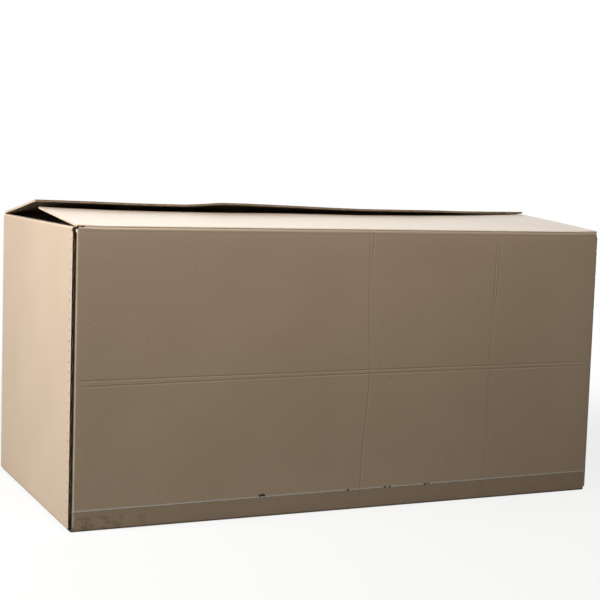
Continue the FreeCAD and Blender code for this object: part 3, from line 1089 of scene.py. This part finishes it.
def kraft_finish(name):
    """Matt kraft liner: cloudy, fibrous, with the flutes just showing through, painted shade in its
    creases and dents, and painted highlights on some folds.
    """
    finish = Finish(bpy.data.materials.new(name))
    place = finish.sheet_place()
    across, along = finish.part(place, 0), finish.part(place, 1)
    creased = finish.node("ShaderNodeAttribute", {"attribute_name": "creased"}, output=2)
    clouds = finish.noise(place, 6, 3).step(0.3, 0.7)
    mottle = finish.noise(place, 230, 1)
    fibres = finish.noise(finish.stretched(place, 700, 220), 1, 3, 0.6)
    base = finish.mix(clouds, KRAFT_DARK, KRAFT_LIGHT)
    base = finish.mix(0.85, base, KRAFT)
    # Painted shade along the crease grooves from the creased attribute; where it is below 0 it is a
    # painted highlight on the folds and the flap's ridge
    shade = 0.83 + 0.26 * mottle + 0.08 * fibres - 0.16 * creased
    # Painted shade in the dents beside the upright folds
    for line in DOT_LINES:
        shade = shade - 0.7 * row_of_dent_shade(finish, across, along, line)
    frayed = across + 5 * MM * finish.noise(place, 120, 2)
    shade = shade + 0.15 * (1 - frayed.step(7 * MM, 10 * MM))
    for x, z, radius, dark in SPECKS:
        centre = (flat_across("front", x * MM), z * MM, 0)
        shade = shade - dark * finish.spot(place, centre, radius * MM, 0.4)
    grey = finish.node("ShaderNodeCombineColor", None, {0: shade, 1: shade, 2: shade})
    base = finish.mix(1.0, base, grey, "MULTIPLY")
    ridges = finish.node("ShaderNodeMath", {"operation": "SINE"}, {0: across * (2 * math.pi / FLUTE)})
    height = 0.5 * fibres + 0.25 * ridges
    bump = finish.node("ShaderNodeBump", None, {"Strength": 0.25, "Distance": 0.0002, "Height": height})
    shader = finish.node("ShaderNodeBsdfPrincipled", None,
                         {"Base Color": base, "Roughness": 0.42, "Normal": bump,
                          "Specular IOR Level": 1.0})
    return finish.surface(shader)


kraft = kraft_finish("kraft_board")
print("marks on the front:", len(SPECKS), "rows of dents:", len(DOT_LINES))

# %% Inner face and cut edges
def plain_finish(name, tone):
    """Board without marks: the inner liner, and cut edges."""
    finish = Finish(bpy.data.materials.new(name))
    place = finish.sheet_place()
    grain = finish.noise(place, 260, 2)
    light = tuple(c * tone for c in KRAFT_LIGHT[:3]) + (1,)
    dark = tuple(c * tone * 0.85 for c in KRAFT_DARK[:3]) + (1,)
    base = finish.mix(grain.step(0.3, 0.7), dark, light)
    matt = {"Base Color": base, "Roughness": 0.9}
    return finish.surface(finish.node("ShaderNodeBsdfPrincipled", None, matt))


inner_liner = plain_finish("inner_liner", 0.62)
# The raw edge at the glued corner gets a tone far darker than the board: painted shade, for the edge that
# stands in shadow in the narrow gap at the corner
raw_corner_edge = plain_finish("raw_corner_edge", 0.2)
raw_flap_edge = plain_finish("raw_flap_edge", 1.1)
flute_paper = plain_finish("flute_paper", 1.1)
for piece, raw in ((folded_sheet, raw_corner_edge), (front_flap, raw_flap_edge),
                   (back_flap, raw_flap_edge)):
    for material in (kraft, raw, inner_liner):
        piece.data.materials.append(material)
print("materials of the sheet:", [m.name for m in folded_sheet.data.materials])

# %% [markdown]
# The edges that were cut across the flutes get a row of waves each. The raw edge at the glued
# corner runs along the flutes, so its ribbon only wanders slowly between the liners.

# %% Put the flutes into the cut edges
raw_corner = guide([((-HALF_LENGTH, -HALF_WIDTH + RAW_SETBACK, z), (1, 0, 0), Vector((0, 1, 0)))
                    for z in ring_rows])
carton_flutes = ribbon("carton_flutes", [last_row(rows) for rows in flap_ends], FLUTE,
                       RAW_SLOT - INSET, flute_paper)
corner_flutes = ribbon("corner_flutes", [raw_corner], WANDER, CORNER_DEPTH, flute_paper)
flap_depth = FLAP_SLOT - INSET
front_flutes = ribbon("front_flap_flutes", [last_row(front_rows)], FLUTE, flap_depth, flute_paper)
back_flutes = ribbon("back_flap_flutes", [last_row(back_rows)], FLUTE, flap_depth, flute_paper)

# %% [markdown]
# ## Clear tape
#
# Clear tape hardly changes the colour below it. What the eye finds is its pale cut edge, which is
# partly the tape's own whitish edge and partly a painted glint, a few dark spots where that edge is
# torn, and dirt at the corner. All of it is told by how clear the tape is from place to place, so
# the board's own finish stays as it is.

# %% Clear tape finish
# Places where the upper edge of the tape is torn or pinched: (place along, height, radius) in mm
TAPE_FLAWS = ((-204, 45, 4.5), (-199.8, 47, 4.5), (-195, 45, 4.5), (-4.8, 43.4, 4), (82.5, 43.6, 4),
              (94, 43.7, 3.4), (179.5, 43.9, 4.4), (188, 43.9, 3.4))


def tape_finish():
    """Clear tape: hardly seen, but for its pale upper edge, smudges and a few flaws."""
    finish = Finish(bpy.data.materials.new("clear_tape"))
    place = finish.node("ShaderNodeTexCoord", output=3)
    x, z = finish.part(place, 0), finish.part(place, 2)
    top = TAPE_RISE + (x + SLOT_X) * TAPE_SLOPE
    # The pale line along the upper edge is partly the tape's own whitish edge and partly a painted glint
    # of light on it
    line = (z - top).step(-3.0 * MM, -2.4 * MM)
    patches = finish.noise(place, 45, 3).step(0.45, 0.7)
    smudge = patches * (1 - x.step(-0.56, -0.42)) * (1 - z.step(0.02, 0.034))
    flaw = 0
    for across, up, radius in TAPE_FLAWS:
        centre = (across * MM, -HALF_WIDTH, up * MM)
        flaw = flaw + finish.spot(place, centre, radius * MM, 0.5)
    base = finish.mix(line, colour(182, 164, 144), colour(250, 248, 244))
    base = finish.mix(flaw, base, colour(60, 48, 36))
    alpha = 0.1 + 0.3 * smudge + 0.62 * line + 0.5 * flaw
    shader = finish.node("ShaderNodeBsdfPrincipled", None,
                         {"Base Color": base, "Roughness": 0.3, "Alpha": alpha})
    return finish.surface(shader)


tape = tape_finish()
for piece in (front_tape, under_tape):
    piece.data.materials.append(tape)
print("flaws in the edge of the tape:", len(TAPE_FLAWS))

# %% [markdown]
# ## Floor and light
#
# The carton stands on white that melts into a white room. A white floor would throw too much
# light up at the walls, so it is white only to the camera. Two broad lamps stand for windows
# at the left and right, and a weak warm one fills the front. The room is bright behind the
# carton in gloss alone, because the sheen on the flaps comes from there.

# %% Floor
FLOOR_HALF = 30


def floor_finish():
    """White to the camera and darker to the light that it would throw back up."""
    finish = Finish(bpy.data.materials.new("pale_floor"))
    place = finish.node("ShaderNodeTexCoord", output=3)
    far = finish.node("ShaderNodeVectorMath", {"operation": "LENGTH"}, {0: place}, 1)
    glow = finish.node("ShaderNodeEmission", None, {"Color": (1, 1, 1, 1), "Strength": 1.0})
    seen = finish.node("ShaderNodeBsdfDiffuse", None, {"Color": (0.9, 0.9, 0.9, 1)})
    share = 0.8 + 0.2 * far.step(1.0, 2.2)
    seen = finish.node("ShaderNodeMixShader", None, {0: share, 1: seen, 2: glow})
    bounce = finish.node("ShaderNodeBsdfDiffuse", None, {"Color": (0.13, 0.12, 0.11, 1)})
    camera_ray = finish.node("ShaderNodeLightPath")
    return finish.surface(finish.node("ShaderNodeMixShader", None, {0: camera_ray, 1: bounce, 2: seen}))


floor_mesh = bpy.data.meshes.new("floor")
floor_corners = [(x * FLOOR_HALF, y * FLOOR_HALF, 0) for x, y in ((-1, -1), (1, -1), (1, 1), (-1, 1))]
floor_mesh.from_pydata(floor_corners, [], [(0, 1, 2, 3)])
floor = placed("floor", floor_mesh)
floor.data.materials.append(floor_finish())
print("floor from", floor_corners[0], "to", floor_corners[2])

# %% Light
def soft_lamp(name, place, aim, size, power, tint=(1, 1, 1)):
    """A round soft lamp that looks at a point."""
    lamp = bpy.data.lights.new(name, "AREA")
    lamp.shape = "DISK"
    lamp.size = size
    lamp.energy = power
    lamp.color = tint
    stand = placed(name, lamp)
    way = Vector(aim) - Vector(place)
    stand.matrix_world = Matrix.Translation(place) @ way.to_track_quat("-Z", "Y").to_matrix().to_4x4()


def room_world(ambient, behind, before):
    """White where the camera looks, white behind the carton in gloss, and dim elsewhere."""
    finish = Finish(bpy.data.worlds.new("white_room"))
    way = finish.node("ShaderNodeTexCoord")
    aside = finish.part(way, 0)
    back = finish.part(way, 1).step(0, 0.4)
    back = back * aside.step(-0.05, 0.2) * (1 - 0.45 * aside.step(0.25, 0.65))
    camera_ray = finish.node("ShaderNodeLightPath")
    glossy_ray = finish.node("ShaderNodeLightPath", output=3)
    gloss = before + (behind - before) * back
    level = ambient + (gloss - ambient) * glossy_ray
    level = level + (1 - level) * camera_ray
    glow = finish.node("ShaderNodeBackground", None, {"Color": (1, 1, 1, 1), "Strength": level})
    return finish.surface(glow, "ShaderNodeOutputWorld")


bpy.context.scene.world = room_world(ambient=0.05, behind=2.9, before=0.25)
soft_lamp("left_window", (-2.5, -0.35, 1.3), (-0.6, 0, 0.35), 1.0, 72)
soft_lamp("right_window", (3.3, 2.3, 0.45), (0.4, 0.2, 0.35), 1.2, 45)
soft_lamp("front_fill", (-0.1, -1.45, 1.95), (0, -0.3, 0.45), 1.0, 15.5, (1, 0.95, 0.81))

bpy.context.scene.view_settings.view_transform = "Standard"
print("lamps:", len(bpy.data.lights))

# %% [markdown]
# ## Pieces and their bodies
#
# Each piece rides on the body that it moves with. The sheets and tapes stand in for CAD
# nodes, and the flutes are extra.

# %% Tie every piece to its body
for piece, body, nodes, slot in (
        (folded_sheet, "carton", ["carton_body"], "kraft_board"),
        (front_flap, "front_flap", ["front_top_flap"], "kraft_board"),
        (back_flap, "back_flap", ["back_top_flap"], "kraft_board"),
        (front_tape, "carton", ["edge_tape"], "clear_tape"),
        (under_tape, "carton", ["bottom_seam_tape"], "clear_tape"),
        (carton_flutes, "carton", [], "kraft_board"),
        (corner_flutes, "carton", [], "kraft_board"),
        (front_flutes, "front_flap", [], "kraft_board"),
        (back_flutes, "back_flap", [], "kraft_board")):
    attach(piece, body)
    if nodes:
        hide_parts(*nodes)
